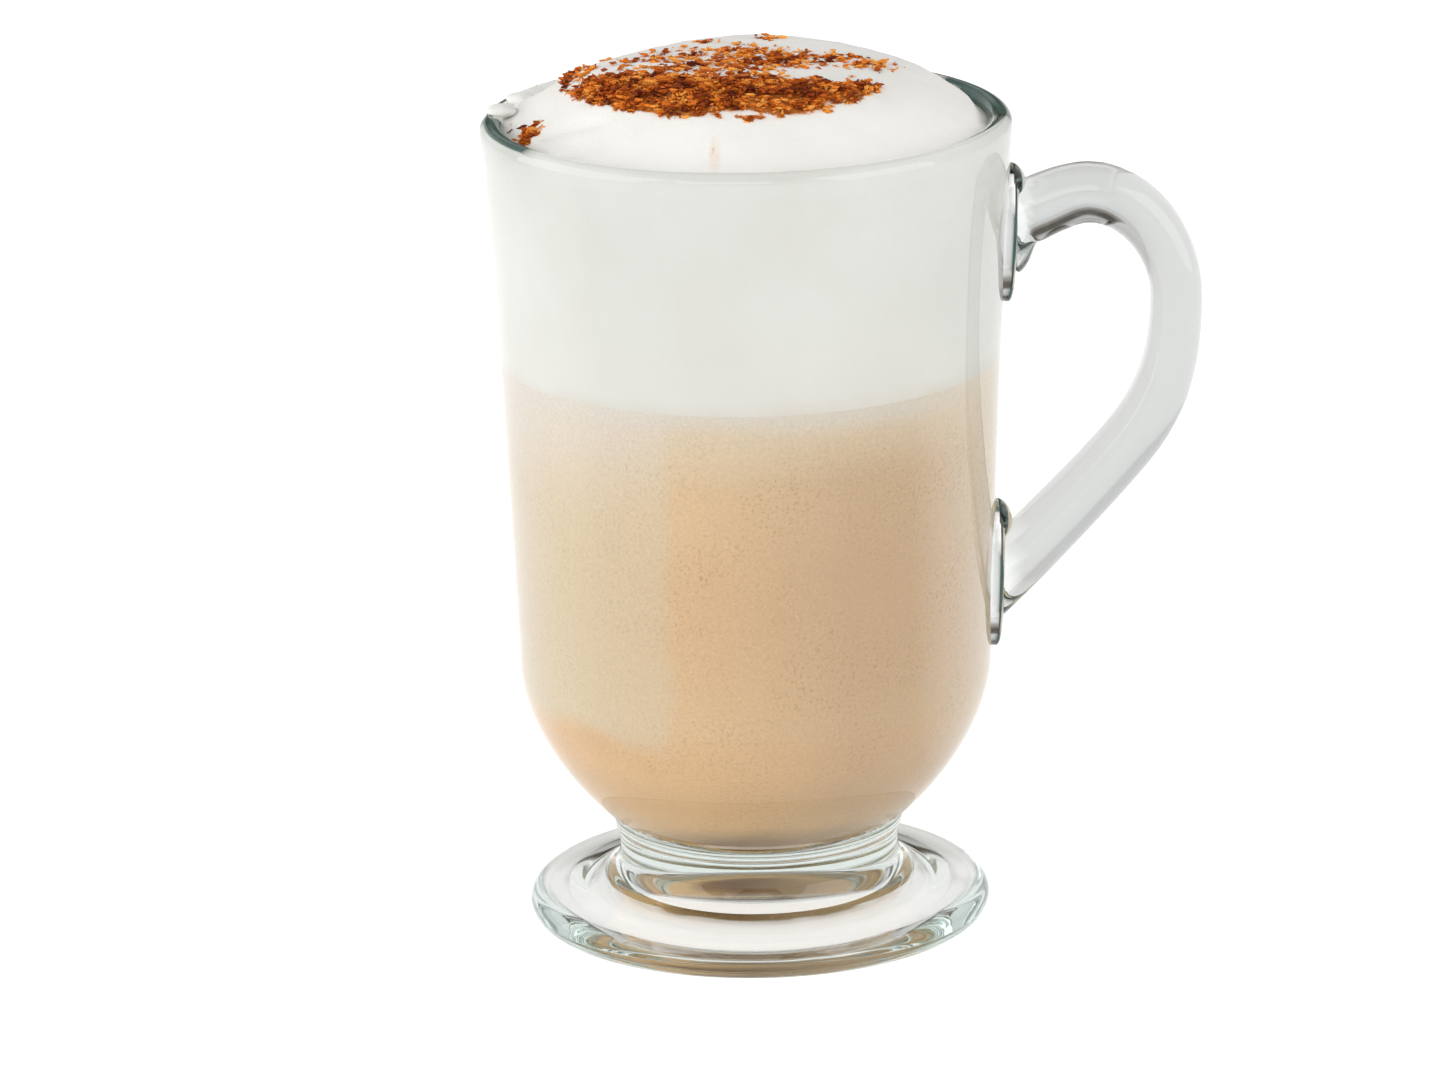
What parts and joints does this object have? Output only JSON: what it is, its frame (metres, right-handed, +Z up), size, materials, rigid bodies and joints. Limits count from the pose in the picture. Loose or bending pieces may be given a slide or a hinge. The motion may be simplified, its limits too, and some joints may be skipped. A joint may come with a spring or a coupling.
{
  "type": "cappuccino in a footed glass mug",
  "caption": "Footed clear glass mug with a side handle, holding milky coffee under a thick heap of milk foam dusted with cinnamon.",
  "frame": {"origin": "bottom centre of the whole object's box, on the table the foot stands on", "axes": "+Z up along the mug's axis, +X towards the handle, +Y away from the viewer of the picture"},
  "size_m": [0.1064, 0.0784, 0.1323],
  "materials": {
    "glass": "clear, polished, faintly green",
    "coffee": "milky, opaque",
    "milk_foam": "soft fine foam with cinnamon powder"
  },
  "bodies": {
    "root": {"glass_mug": "glass", "coffee": "coffee", "milk_foam": "milk_foam"}
  },
  "joints": []
}
